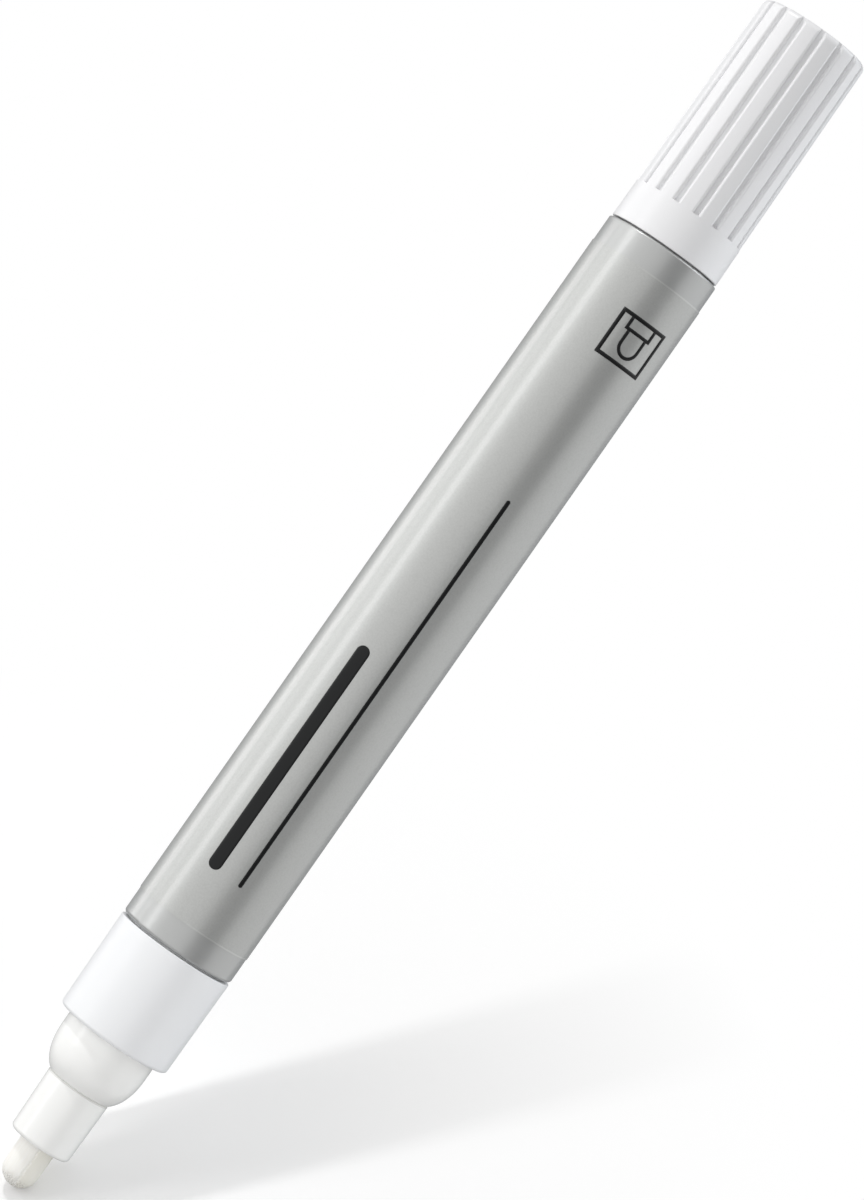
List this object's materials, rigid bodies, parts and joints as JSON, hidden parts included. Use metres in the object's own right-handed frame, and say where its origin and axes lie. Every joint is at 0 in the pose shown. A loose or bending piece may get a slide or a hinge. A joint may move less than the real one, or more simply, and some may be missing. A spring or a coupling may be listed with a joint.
{
  "type": "liquid chalk marker",
  "caption": "Slim liquid chalk marker: a bullet nib opens a spring valve when pressed, with a film-wrapped silver barrel and a grooved white cap posted on its tail.",
  "frame": {"origin": "tip of the nib, on the marker's axis", "axes": "+Z along the axis from the nib to the posted cap; the marker is round, and -Y faces the picture's camera"},
  "size_m": [0.0132, 0.0132, 0.1429],
  "materials": {
    "nib_fibre": "bonded fibre, matt",
    "nose_plastic": "milky moulded, satin",
    "collar_plastic": "white moulded, satin gloss",
    "barrel_plastic": "silver-grey, gloss",
    "label_film": "silver-grey printed film, gloss",
    "plug_plastic": "white moulded, satin gloss",
    "cap_plastic": "white moulded, satin gloss",
    "liner_plastic": "milky moulded",
    "gasket_rubber": "moulded rubber",
    "valve_plastic": "moulded",
    "spring_steel": "drawn stainless wire",
    "ball_steel": "polished"
  },
  "bodies": {
    "barrel": {"barrel_tube": "barrel_plastic", "label_sleeve": "label_film", "front_collar": "collar_plastic", "nose_cone": "nose_plastic", "valve_gasket": "gasket_rubber", "valve_cage": "valve_plastic", "valve_spring": "spring_steel", "tail_plug": "plug_plastic"},
    "nib_unit": {"nib": "nib_fibre", "valve_stem": "valve_plastic"},
    "cap": {"cap_shell": "cap_plastic", "cap_liner": "liner_plastic"},
    "mixing_ball": {"mixing_ball": "ball_steel"}
  },
  "joints": [
    {"name": "nib_press", "type": "slide", "parent": "barrel", "child": "nib_unit", "axis": [0, 0, 1], "range_m": [0, 0.002], "stiffness_N_per_m": 400, "springref_m": -0.003, "deforming": ["valve_spring"]},
    {"name": "cap_pull", "type": "slide", "parent": "barrel", "child": "cap", "axis": [0, 0, 1], "range_m": [0, 0.015]},
    {"name": "ball_travel", "type": "slide", "parent": "barrel", "child": "mixing_ball", "axis": [0, 0, 1], "range_m": [0, 0.059]}
  ]
}
